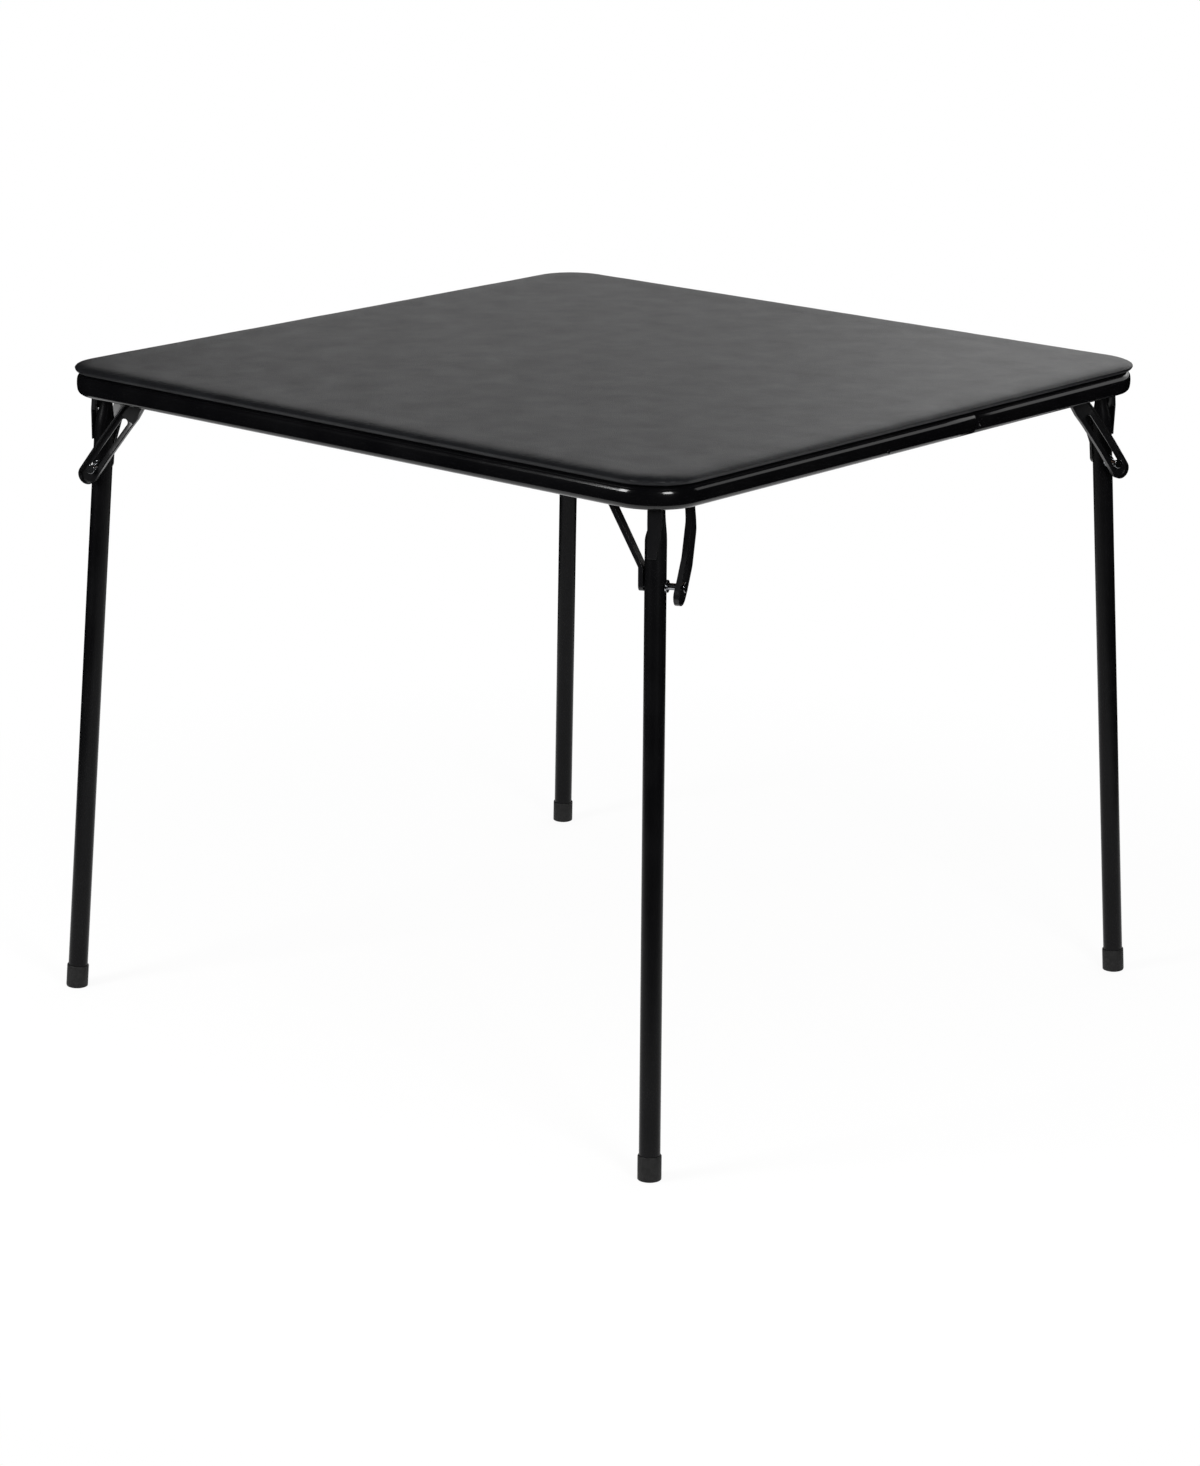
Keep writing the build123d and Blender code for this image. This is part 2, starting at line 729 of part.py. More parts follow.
# Latch link: a joggled channel, rims outward, slotted for the sleeve
link_start = swing.from_local_coords((pivot_inboard, pivot_y, 0))
link_run = (swing.from_local_coords((stud_x, stud_y, 0)) - link_start).normalized()
link_face = Plane(origin=link_start, x_dir=link_run, z_dir=hinge_axis)
link_edge = Plane(origin=link_start, x_dir=link_run, z_dir=link_run.cross(hinge_axis))


def link_band(near, far):
    """The link seen edge on, between two depths off its inner face."""
    places = [
        (share * link_span, side) for share, side in zip(link_path_shares, link_path_sides)
    ]
    with BuildSketch(link_edge) as band:
        with BuildLine():
            inner = FilletPolyline(*[(x, y + near) for x, y in places], radius=link_bend_radius)
            outer = FilletPolyline(*[(x, y + far) for x, y in places], radius=link_bend_radius)
            Line(inner @ 0, outer @ 0)
            Line(inner @ 1, outer @ 1)
        make_face()
    return band.sketch


def link_outline(shrink):
    """The link seen along its pivot: tapered to the pivot, round at both ends."""
    with BuildSketch(link_face) as outline:
        Circle(link_top_radius - shrink)
        with Locations((link_shoulder, 0), (link_span + link_end_run, 0)):
            Circle(link_tail - shrink)
        make_hull()
    return outline.sketch


with BuildPart() as link_pocket:
    extrude(link_band(link_gauge, link_depth + overrun), amount=link_width / 2, both=True)
    extrude(link_outline(link_gauge), amount=stud_reach + overrun, mode=Mode.INTERSECT)

with BuildPart() as link:
    extrude(link_band(0, link_depth), amount=link_width / 2, both=True)
    extrude(link_outline(0), amount=stud_reach + overrun, mode=Mode.INTERSECT)
    add(link_pocket.part, mode=Mode.SUBTRACT)
    slot_run = stud_travel + slot_play
    with BuildSketch(link_face):
        Circle(pivot_radius + running_gap)
        with Locations((link_span - slot_run / 2, 0)):
            SlotCenterToCenter(slot_run, slot_width)
    extrude(amount=stud_reach + overrun, mode=Mode.SUBTRACT)
save_at_corners(link, "latch_link")

# Link pivot: headed behind the link, washered beyond the bracket's window
with BuildPart() as pivot:
    pivot_low = link_path_sides[0] - running_gap
    pivot_high = lug_side + sheet + running_gap
    with BuildSketch(link_face.offset(pivot_low)):
        Circle(pivot_radius)
    extrude(amount=pivot_high - pivot_low)
    with BuildSketch(link_face.offset(pivot_low)):
        Circle(pivot_head_radius)
    extrude(amount=-pivot_head)
    with BuildSketch(link_face.offset(pivot_high)):
        Circle(pivot_washer_radius)
    extrude(amount=pivot_washer)
save_at_corners(pivot, "link_pivot")
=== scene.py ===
import math

import bmesh
import bpy
from mathutils import Matrix, Vector, noise


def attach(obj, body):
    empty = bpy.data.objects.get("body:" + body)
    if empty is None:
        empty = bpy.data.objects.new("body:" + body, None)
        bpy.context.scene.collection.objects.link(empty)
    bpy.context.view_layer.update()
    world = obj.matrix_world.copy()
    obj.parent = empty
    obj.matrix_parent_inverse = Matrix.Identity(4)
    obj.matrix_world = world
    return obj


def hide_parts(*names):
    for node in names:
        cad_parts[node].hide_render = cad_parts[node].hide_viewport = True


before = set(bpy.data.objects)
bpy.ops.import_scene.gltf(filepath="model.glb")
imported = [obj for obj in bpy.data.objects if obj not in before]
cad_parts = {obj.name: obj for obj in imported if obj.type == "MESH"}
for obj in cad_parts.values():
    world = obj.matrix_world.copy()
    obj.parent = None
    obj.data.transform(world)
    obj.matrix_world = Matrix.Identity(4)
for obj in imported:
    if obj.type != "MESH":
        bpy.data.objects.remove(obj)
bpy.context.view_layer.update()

# Rail: one strip of cold-rolled steel, rolled to a bulged C and bent round four corners.
# Its ends butt on the front side, 337 mm from the right corner. It is dipped in gloss
# black enamel, which leaves a faint orange-peel skin.
rail_half = 0.430
rail_corner = 0.055
rail_bottom = 0.6895
rail_height = 0.024
rail_gauge = 0.0012
rail_bulge = 0.0014
rail_bulge_low, rail_bulge_high = 0.36, 0.62
rail_lower_flange, rail_upper_flange = 0.010, 0.016
rail_lower_round, rail_upper_round, rail_bulge_round = 0.0050, 0.0062, 0.0024
rail_joint_x = 0.093
rail_joint_gap = 0.0004
rail_run_step = 0.06
rail_bend_steps = 28
rail_lip = 0.00025
weld = 1e-6


def linear(code):
    """An sRGB hex colour as the linear values that a shader takes."""
    parts = [int(code[i:i + 2], 16) / 255 for i in (1, 3, 5)]
    return [c / 12.92 if c <= 0.04045 else ((c + 0.055) / 1.055) ** 2.4 for c in parts] + [1.0]


def add_node(tree, kind, settings=None, links=None, stops=()):
    """Adds one node, with its settings, the sockets that feed it and any colour stops."""
    node = tree.nodes.new(kind)
    for key, value in (settings or {}).items():
        if isinstance(key, int) or key in node.inputs:
            node.inputs[key].default_value = value
        else:
            setattr(node, key, value)
    for key, source in (links or {}).items():
        tree.links.new(source, node.inputs[key])
    for number, (position, code) in enumerate(stops):
        node.color_ramp.elements[number].position = position
        node.color_ramp.elements[number].color = linear(code)
    return node


def new_material(name):
    """An empty material with its output, ready for a shader."""
    material = bpy.data.materials.new(name)
    material.use_nodes = True
    material.node_tree.nodes.clear()
    output = add_node(material.node_tree, "ShaderNodeOutputMaterial")
    return material, material.node_tree, output


def black_enamel(name, tones, roughness, specular):
    """Black enamel on steel: a faint cloudiness in the tone, and a pebbled skin."""
    material, tree, output = new_material(name)
    place = add_node(tree, "ShaderNodeTexCoord").outputs["Object"]
    cloud = add_node(
        tree, "ShaderNodeTexNoise", {"Scale": 18.0, "Detail": 3.0}, {"Vector": place}
    )
    tone = add_node(
        tree, "ShaderNodeValToRGB", links={"Fac": cloud.outputs["Fac"]},
        stops=((0.35, tones[0]), (0.7, tones[1])),
    )
    rough = add_node(
        tree,
        "ShaderNodeMapRange",
        {"To Min": roughness[0], "To Max": roughness[1]},
        {"Value": cloud.outputs["Fac"]},
    )
    # Orange peel is about 1.5 mm from crest to crest and 0.02 mm deep
    skin = add_node(
        tree, "ShaderNodeTexNoise", {"Scale": 1 / 0.0015, "Detail": 1.0}, {"Vector": place}
    )
    bump = add_node(
        tree,
        "ShaderNodeBump",
        {"Strength": 1.0, "Distance": 0.00002},
        {"Height": skin.outputs["Fac"]},
    )
    shader = add_node(
        tree,
        "ShaderNodeBsdfPrincipled",
        {"IOR": 1.5, "Specular IOR Level": specular},
        {
            "Base Color": tone.outputs["Color"],
            "Roughness": rough.outputs["Result"],
            "Normal": bump.outputs["Normal"],
        },
    )
    tree.links.new(shader.outputs["BSDF"], output.inputs["Surface"])
    return material


def finish_piece(bm, name, body, material, nodes, sharp=35):
    """Makes the mesh an object that rides on its body and stands for its CAD nodes."""
    mesh = bpy.data.meshes.new(name)
    bm.to_mesh(mesh)
    bm.free()
    mesh.polygons.foreach_set("use_smooth", [True] * len(mesh.polygons))
    mesh.set_sharp_from_angle(angle=math.radians(sharp))
    piece = bpy.data.objects.new(name, mesh)
    bpy.context.collection.objects.link(piece)
    piece.data.materials.append(material)
    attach(piece, body)
    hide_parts(*nodes)
    return piece


def drawn_on(bm, edges):
    """Draws a line of edges on by one step, and gives the new points and edges."""
    grown = bmesh.ops.extrude_edge_only(bm, edges=edges)["geom"]
    points = [g for g in grown if isinstance(g, bmesh.types.BMVert)]
    return points, [g for g in grown if isinstance(g, bmesh.types.BMEdge)]


# Mirror-like, so the rail is black where it sees the cloth and white where it sees a lamp
rail_enamel = black_enamel("gloss_enamel_on_rail", ("#050506", "#080809"), (0.1, 0.16), 0.45)

bm = bmesh.new()
skin_half = rail_gauge / 2
strip = [
    (-rail_lower_flange, skin_half),
    (-rail_bulge - skin_half, skin_half),
    (-skin_half, rail_height * rail_bulge_low),
    (-skin_half, rail_height * rail_bulge_high),
    (-rail_bulge - skin_half, rail_height - skin_half),
    (-rail_upper_flange, rail_height - skin_half),
]
corners = [
    bm.verts.new((rail_joint_x + rail_joint_gap / 2, -(rail_half + x), rail_bottom + z))
    for x, z in strip
]
for ends in zip(corners, corners[1:]):
    bm.edges.new(ends)
for number, size in (
    (4, rail_upper_round),
    (1, rail_lower_round),
    (3, rail_bulge_round),
    (2, rail_bulge_round),
):
    bmesh.ops.bevel(
        bm, geom=[corners[number]], offset=size, offset_type="OFFSET", segments=6,
        profile=0.5, affect="VERTICES", material=-1,
    )
inner = rail_half - rail_corner
runs = [
    (Vector((1, 0, 0)), inner - rail_joint_x - rail_joint_gap / 2),
    (Vector((0, 1, 0)), 2 * inner),
    (Vector((-1, 0, 0)), 2 * inner),
    (Vector((0, -1, 0)), 2 * inner),
    (Vector((1, 0, 0)), inner + rail_joint_x - rail_joint_gap / 2),
]
section = list(bm.edges)
for number, (heading, length) in enumerate(runs):
    steps = max(2, round(length / rail_run_step))
    for _ in range(steps):
        points, section = drawn_on(bm, section)
        bmesh.ops.translate(bm, verts=points, vec=heading * (length / steps))
    if number < 4:
        centre = heading * inner + heading.cross(Vector((0, 0, 1))) * inner
        turned = bmesh.ops.spin(
            bm, geom=section, cent=centre, axis=(0, 0, 1), angle=math.radians(90),
            steps=rail_bend_steps,
        )["geom_last"]
        section = [g for g in turned if isinstance(g, bmesh.types.BMEdge)]
bmesh.ops.remove_doubles(bm, verts=bm.verts, dist=weld)
bmesh.ops.recalc_face_normals(bm, faces=bm.faces)
lowest = min(bm.faces, key=lambda f: f.calc_center_median().z)
if lowest.normal.z > 0:
    bmesh.ops.reverse_faces(bm, faces=bm.faces)
rail = finish_piece(bm, "rail", "table_top", rail_enamel, ["frame_rail"])
wall = rail.modifiers.new("gauge", "SOLIDIFY")
wall.thickness = rail_gauge
wall.offset = 0
wall.use_even_offset = True
lip = rail.modifiers.new("lip", "BEVEL")
lip.width = rail_lip
lip.segments = 2
lip.limit_method = "ANGLE"
lip.angle_limit = math.radians(50)

# Rail fastenings: a plate behind the butt joint with one dome rivet beside it, and two
# small dome rivets low on the rail's face. They are enamelled with the rail.
for name in ("rail_splice_plate", "rail_splice_rivet", "rail_rivets"):
    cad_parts[name].material_slots[0].material = rail_enamel

# Panel: hardboard, pressed from wood fibre, brown and smooth underneath with a faint
# fibre fleck. It is screwed to the rail's top flange from below.
board, tree, output = new_material("hardboard")
place = add_node(tree, "ShaderNodeTexCoord").outputs["Object"]
fleck = add_node(
    tree, "ShaderNodeTexNoise", {"Scale": 1 / 0.002, "Detail": 4.0, "Roughness": 0.7},
    {"Vector": place},
)
patch = add_node(tree, "ShaderNodeTexNoise", {"Scale": 7.0, "Detail": 2.0}, {"Vector": place})
mixed = add_node(
    tree, "ShaderNodeMath", {"operation": "MULTIPLY_ADD", 1: 0.25},
    {0: patch.outputs["Fac"], 2: fleck.outputs["Fac"]},
)
tone = add_node(
    tree, "ShaderNodeValToRGB", links={"Fac": mixed.outputs["Value"]},
    stops=((0.45, "#4c3524"), (0.8, "#664830")),
)
bump = add_node(
    tree, "ShaderNodeBump", {"Strength": 0.4, "Distance": 0.00008},
    {"Height": fleck.outputs["Fac"]},
)
shader = add_node(
    tree,
    "ShaderNodeBsdfPrincipled",
    {"Roughness": 0.62, "IOR": 1.5},
    {"Base Color": tone.outputs["Color"], "Normal": bump.outputs["Normal"]},
)
tree.links.new(shader.outputs["BSDF"], output.inputs["Surface"])
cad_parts["panel_board"].material_slots[0].material = board

# Foam: a thin sheet of open-cell foam, laid on the board under the vinyl. It is pale and
# matte, pricked all over with small open cells, each painted darker towards its middle as shade
# in the pore.
foam, tree, output = new_material("open_cell_foam")
place = add_node(tree, "ShaderNodeTexCoord").outputs["Object"]
cells = add_node(tree, "ShaderNodeTexVoronoi", {"Scale": 1 / 0.0015}, {"Vector": place})
# Painted shade: the tone darkens towards each cell's middle, standing in for the shade inside
# its open pore
tone = add_node(
    tree, "ShaderNodeValToRGB", links={"Fac": cells.outputs["Distance"]},
    stops=((0.0, "#b9ae8c"), (1.0, "#ded5b8")),
)
shader = add_node(
    tree, "ShaderNodeBsdfPrincipled", {"Roughness": 0.95}, {"Base Color": tone.outputs["Color"]}
)
tree.links.new(shader.outputs["BSDF"], output.inputs["Surface"])
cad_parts["foam_pad"].material_slots[0].material = foam

# Padded top: black leather-grain vinyl, drawn over the foam and board and turned in under
# the board. The edge rolls over in a soft round, and the hem pulls it in unevenly.
pad_half = 0.432
pad_corner = 0.057
pad_widest = 0.7185
hem_level = 0.7136
hem_opening = 0.406
board_level = 0.7146
weave_step = 0.006
# Each roll is a step in from the widest line, and the rise or fall with it
top_rolls = (
    (0.0014, 0.0016), (0.0028, 0.0013), (0.0048, 0.0009), (0.0090, 0.0006), (0.0200, 0.0003)
)
under_rolls = ((0.0008, -0.0018), (0.0026, -0.0018), (0.0060, -0.0016), (0.0004, -0.0093))
# The cloth is free near the edge, and held over the board and at the hem
held_from, held_over, held_hem = 0.030, 0.040, 0.0010
most_pull, most_lift = 0.0016, 0.0002
# The edge's section: how deep and tall it is, and how it eases in plan and in height
over_edge = (0.042, 0.0053, 3.2, 2.0)
under_edge = (0.009, 0.0049, 2.0, 2.0)
# Unevenness: waves to the metre, and their height
long_swell, short_swell, hem_tug = (21.0, 0.00018), (55.0, 0.00006), (17.0, 0.0006)
tug_reach = 0.012
hem_clear = 0.0004

vinyl, tree, output = new_material("leather_grain_vinyl")
place = add_node(tree, "ShaderNodeTexCoord").outputs["Object"]
# The embossed grain is about 1 mm; it is drawn at 2.2 mm so that it shows from a step away
warp = add_node(tree, "ShaderNodeTexNoise", {"Scale": 160.0, "Detail": 2.0}, {"Vector": place})
bent = add_node(
    tree, "ShaderNodeVectorMath", {"operation": "MULTIPLY_ADD", 1: (0.003, 0.003, 0.003)},
    {0: warp.outputs["Color"], 2: place},
)
grain = add_node(
    tree, "ShaderNodeTexVoronoi", {"Scale": 1 / 0.0022, "feature": "DISTANCE_TO_EDGE"},
    {"Vector": bent.outputs["Vector"]},
)
pebble = add_node(
    tree, "ShaderNodeMapRange", {"From Max": 0.35, "interpolation_type": "SMOOTHSTEP"},
    {"Value": grain.outputs["Distance"]},
)
fine = add_node(
    tree, "ShaderNodeTexNoise", {"Scale": 1 / 0.0012, "Detail": 3.0, "Roughness": 0.6},
    {"Vector": place},
)
height = add_node(
    tree, "ShaderNodeMath", {"operation": "MULTIPLY_ADD", 1: 0.6},
    {0: fine.outputs["Fac"], 2: pebble.outputs["Result"]},
)
bump = add_node(
    tree, "ShaderNodeBump", {"Strength": 0.75, "Distance": 0.00012},
    {"Height": height.outputs["Value"]},
)
# Cloudy tone: the emboss takes the light unevenly over patches of 20 to 60 mm
cloud = add_node(
    tree, "ShaderNodeTexNoise", {"Scale": 26.0, "Detail": 5.0, "Roughness": 0.6},
    {"Vector": place},
)
tone = add_node(
    tree, "ShaderNodeValToRGB", links={"Fac": cloud.outputs["Fac"]},
    stops=((0.3, "#121214"), (0.75, "#1a1b1d")),
)
rough = add_node(
    tree, "ShaderNodeMapRange", {"To Min": 0.46, "To Max": 0.36}, {"Value": cloud.outputs["Fac"]}
)
shader = add_node(
    tree,
    "ShaderNodeBsdfPrincipled",
    {"IOR": 1.5, "Specular IOR Level": 0.18},
    {
        "Base Color": tone.outputs["Color"],
        "Roughness": rough.outputs["Result"],
        "Normal": bump.outputs["Normal"],
    },
)
tree.links.new(shader.outputs["BSDF"], output.inputs["Surface"])


def roll(bm, face, steps):
    """Carries a face in or down by a few soft steps."""
    for inset, rise in steps:
        bmesh.ops.inset_region(
            bm, faces=[face], thickness=inset, depth=0, use_boundary=True, use_even_offset=True
        )
        bmesh.ops.translate(bm, verts=list(face.verts), vec=(0, 0, rise))


def baked(piece):
    """A mesh of the piece as its modifiers leave it."""
    reads = bpy.context.evaluated_depsgraph_get()
    return bpy.data.meshes.new_from_object(piece.evaluated_get(reads))


def edge_reach(point):
    """How far in from the pad's widest outline a point lies, and the way out from there."""
    x, y = abs(point.x), abs(point.y)
    arc = pad_half - pad_corner
    if x > arc and y > arc:
        out = Vector((x - arc, y - arc, 0))
        reach = pad_corner - out.length
    elif x > y:
        out = Vector((1, 0, 0))
        reach = pad_half - x
    else:
        out = Vector((0, 1, 0))
        reach = pad_half - y
    out.normalize()
    return reach, Vector((math.copysign(out.x, point.x), math.copysign(out.y, point.y), 0))


def waves(point, swell):
    """One layer of unevenness at a point."""
    frequency, size = swell
    return noise.noise(point * frequency) * size


bm = bmesh.new()
square = bmesh.ops.create_grid(bm, x_segments=1, y_segments=1, size=pad_half)["verts"]
bmesh.ops.bevel(
    bm, geom=square, offset=pad_corner, offset_type="OFFSET", segments=20,
    profile=0.5, affect="VERTICES", material=-1,
)
bmesh.ops.translate(bm, verts=bm.verts, vec=(0, 0, pad_widest))
top_face = list(bm.faces)[0]
copy = bmesh.ops.duplicate(bm, geom=[top_face] + list(top_face.edges) + list(top_face.verts))
under_face = [g for g in copy["geom"] if isinstance(g, bmesh.types.BMFace)][0]
roll(bm, top_face, top_rolls)
roll(bm, under_face, under_rolls)
bmesh.ops.reverse_faces(bm, faces=bm.faces)
bmesh.ops.remove_doubles(bm, verts=bm.verts, dist=weld)
bmesh.ops.recalc_face_normals(bm, faces=bm.faces)

mesh = bpy.data.meshes.new("pad_form")
bm.to_mesh(mesh)
bm.free()
form = bpy.data.objects.new("pad_form", mesh)
bpy.context.collection.objects.link(form)
remesh = form.modifiers.new("weave", "REMESH")
remesh.mode = "VOXEL"
remesh.voxel_size = weave_step
skin_mesh = baked(form)
bpy.data.objects.remove(form)
skin = bpy.data.objects.new("pad_skin", skin_mesh)
bpy.context.collection.objects.link(skin)
start = [v.co.copy() for v in skin_mesh.vertices]

held = skin.vertex_groups.new(name="held")
for number, point in enumerate(start):
    board_hold = min(1.0, max(0.0, (edge_reach(point)[0] - held_from) / held_over))
    hem_hold = 1.0 if point.z < hem_level + held_hem else 0.0
    held.add([number], max(board_hold, hem_hold), "REPLACE")
cloth = skin.modifiers.new("cloth", "CLOTH")
cloth.settings.quality = 5
cloth.settings.mass = 0.3
cloth.settings.tension_stiffness = 30
cloth.settings.compression_stiffness = 30
cloth.settings.bending_stiffness = 1.5
cloth.settings.use_pressure = True
cloth.settings.uniform_pressure_force = 4.0
cloth.settings.effector_weights.gravity = 0
cloth.settings.vertex_group_mass = "held"
cloth.collision_settings.use_collision = False
for number in range(1, 21):
    bpy.context.scene.frame_set(number)
moved = baked(skin)
for number, vertex in enumerate(moved.vertices):
    shift = vertex.co - start[number]
    if shift.length > most_pull:
        shift.length = most_pull
    shift.z = min(shift.z, most_lift)
    skin_mesh.vertices[number].co = start[number] + shift
skin.modifiers.clear()
bpy.context.scene.frame_set(1)

finer = skin.modifiers.new("finer", "SUBSURF")
finer.levels = 1
finer.render_levels = 1
bm = bmesh.new()
bm.from_mesh(baked(skin))
bpy.data.objects.remove(skin)
bmesh.ops.bisect_plane(
    bm, geom=list(bm.verts) + list(bm.edges) + list(bm.faces), dist=1e-7,
    plane_co=(0, 0, hem_level), plane_no=(0, 0, -1), clear_outer=True,
)
# Seen in section, the edge rises steeply and eases onto the top 42 mm in, and it tucks
# under in a tight round. Points are drawn to that line, less and less towards the top.
for vertex in bm.verts:
    reach, out = edge_reach(vertex.co)
    above = vertex.co.z >= pad_widest
    deep, tall, ease, rise = over_edge if above else under_edge
    if reach < deep:
        across = max(0.0, 1 - max(reach, 0.0) / deep)
        level = min(1.0, abs(vertex.co.z - pad_widest) / tall)
        turn = math.atan2(level ** (rise / 2), across ** (ease / 2))
        new_reach = deep * (1 - math.cos(turn) ** (2 / ease))
        new_level = tall * math.sin(turn) ** (2 / rise)
        free = max(0.0, reach / deep) if above else 0.0
        drawn = 1 - free * free * (3 - 2 * free)
        vertex.co += out * (reach - new_reach) * drawn
        new_z = pad_widest + (new_level if above else -new_level)
        vertex.co.z += (new_z - vertex.co.z) * drawn
# The top isn't quite flat, and the hem's folds tug the edge in and out
for vertex in bm.verts:
    reach, out = edge_reach(vertex.co)
    spot = vertex.co
    lumps = waves(spot, long_swell) + waves(spot, short_swell)
    tug = waves(Vector((spot.x, spot.y, 0)), hem_tug) * max(0.0, 1 - reach / tug_reach)
    if vertex.co.z > hem_level + hem_clear:
        vertex.co += out * tug
        vertex.co.z += lumps
# Under the board the hem runs in, and its inner edge turns up to the board
hem_rim = pad_half - sum(inset for inset, _ in under_rolls)
points, rim = drawn_on(bm, [e for e in bm.edges if e.is_boundary])
bmesh.ops.scale(bm, verts=points, vec=(hem_opening / hem_rim, hem_opening / hem_rim, 1))
points, rim = drawn_on(bm, rim)
bmesh.ops.translate(bm, verts=points, vec=(0, 0, board_level - hem_level))
bmesh.ops.edgeloop_fill(bm, edges=rim)
bmesh.ops.recalc_face_normals(bm, faces=bm.faces)
pad = finish_piece(bm, "padded_top", "table_top", vinyl, ["vinyl_cover"], sharp=60)

# Leg: a steel tube 22 mm across, its upper end pressed to a narrow neck that fits
# between the stay's ears. It is dipped in the same black enamel, a little less glossy.
splay = math.radians(4)
fold_skew = math.radians(24)
hinge_level = 0.699
hinge_inset = 0.391
tube_radius = 0.011
neck_start, neck_end, neck_top = -0.046, -0.016, 0.006
neck_long, neck_short = 0.014, 0.012
neck_shift = Vector((0.0020, -0.0025, 0))
neck_round, neck_round_in = 0.0010, 0.0008
cap_sole = 0.0042

outward = Vector((-1, -1, 0)).normalized()
fold = Vector((math.cos(math.pi / 4 - fold_skew), math.sin(math.pi / 4 - fold_skew), 0))
leg_up = Vector((0, 0, 1)) * math.cos(splay) - outward * math.sin(splay)
hinge_axis = fold.cross(leg_up).normalized()
leg_in = leg_up.cross(hinge_axis)
hinge = Vector((-hinge_inset, -hinge_inset, hinge_level))
leg_turn = Matrix((leg_in, -hinge_axis, leg_up)).transposed().to_4x4()
leg_frame = Matrix.Translation(hinge) @ leg_turn
leg_length = hinge_level / math.cos(splay)
foot = cap_sole - leg_length

mirrored = Matrix.Diagonal((-1, 1, 1, 1))
quarter = Matrix.Rotation(math.radians(-90), 4, "Z")
corner_moves = {
    "front_left": Matrix.Identity(4),
    "rear_left": quarter,
    "front_right": mirrored,
    "rear_right": mirrored @ quarter,
}


def body_of(corner, part):
    """The body that a corner's piece rides on: a part of its leg gear, or the top."""
    return f"{corner}_{part}" if part else "table_top"


def fit_corners(bm, piece, part, material):
    """Fits one piece at all four corners: turned at the rear, mirrored at the right."""
    for corner, move in corner_moves.items():
        placed = bm.copy()
        bmesh.ops.transform(placed, matrix=move, verts=placed.verts)
        if move.determinant() < 0:
            bmesh.ops.reverse_faces(placed, faces=placed.faces)
        node = f"{corner}_{piece}"
        finish_piece(placed, f"{node}_shape", body_of(corner, part), material, [node])
    bm.free()


def next_ring(bm, loop, level, wide=None, deep=None, shift=Vector((0, 0, 0))):
    """Draws the tube up to a level, as an ellipse of the given half sizes."""
    points, loop = drawn_on(bm, loop)
    middle = sum((v.co for v in points), Vector()) / len(points)
    half_x = max(v.co.x for v in points) - middle.x
    half_y = max(v.co.y for v in points) - middle.y
    bmesh.ops.translate(bm, verts=points, vec=-middle)
    if wide:
        bmesh.ops.scale(bm, verts=points, vec=(wide / half_x, deep / half_y, 1))
    bmesh.ops.translate(bm, verts=points, vec=Vector((shift.x, shift.y, level)))
    return loop


# Glossy enough for one soft line of light down each tube
leg_enamel = black_enamel(
    "semi_gloss_enamel_on_tube", ("#060607", "#0a0a0b"), (0.22, 0.3), 0.12
)

bm = bmesh.new()
ring = bmesh.ops.create_circle(bm, segments=64, radius=tube_radius)["verts"]
bmesh.ops.translate(bm, verts=ring, vec=(0, 0, foot))
loop = list(bm.edges)
# Rings up the straight tube, up the pressed neck, and over its rounded end
for share in (0.02, 0.25, 0.5, 0.75, 0.98, 1.0):
    loop = next_ring(bm, loop, foot + (neck_start - foot) * share)
for share in (0.06, 0.15, 0.3, 0.45, 0.6, 0.75, 0.88, 1.0):
    soft = share * share * (3 - 2 * share)
    wide = tube_radius + (neck_long / 2 - tube_radius) * soft
    deep = tube_radius + (neck_short / 2 - tube_radius) * soft
    level = neck_start + (neck_end - neck_start) * share
    loop = next_ring(bm, loop, level, wide, deep, neck_shift * soft)
for level, smaller in ((neck_top - neck_round, 0.0), (neck_top, neck_round_in)):
    wide, deep = neck_long / 2 - smaller, neck_short / 2 - smaller
    loop = next_ring(bm, loop, level, wide, deep, neck_shift)
bmesh.ops.edgeloop_fill(bm, edges=loop)
bmesh.ops.recalc_face_normals(bm, faces=bm.faces)
bmesh.ops.transform(bm, matrix=leg_frame, verts=bm.verts)
fit_corners(bm, "leg_tube", "leg", leg_enamel)

# Foot cap: a moulded black rubber boot pushed over the tube's end, with a bevelled
# mouth and a flat sole. The rubber is matte and scuffs a little grey.
cap_radius, cap_height = 0.0123, 0.026
sole_band, sole_press = 0.0016, 0.6

rubber, tree, output = new_material("moulded_rubber")
place = add_node(tree, "ShaderNodeTexCoord").outputs["Object"]
scuff = add_node(tree, "ShaderNodeTexNoise", {"Scale": 220.0, "Detail": 4.0}, {"Vector": place})
tone = add_node(
    tree, "ShaderNodeValToRGB", links={"Fac": scuff.outputs["Fac"]},
    stops=((0.4, "#101010"), (0.75, "#191919")),
)
bump = add_node(
    tree, "ShaderNodeBump", {"Strength": 0.5, "Distance": 0.00006},
    {"Height": scuff.outputs["Fac"]},
)
shader = add_node(
    tree,
    "ShaderNodeBsdfPrincipled",
    {"Roughness": 0.6, "IOR": 1.52, "Specular IOR Level": 0.2},
    {"Base Color": tone.outputs["Color"], "Normal": bump.outputs["Normal"]},
)
tree.links.new(shader.outputs["BSDF"], output.inputs["Surface"])

bm = bmesh.new()
bmesh.ops.create_circle(bm, segments=64, radius=cap_radius - 0.0009)
loop = list(bm.edges)
bmesh.ops.edgeloop_fill(bm, edges=loop)
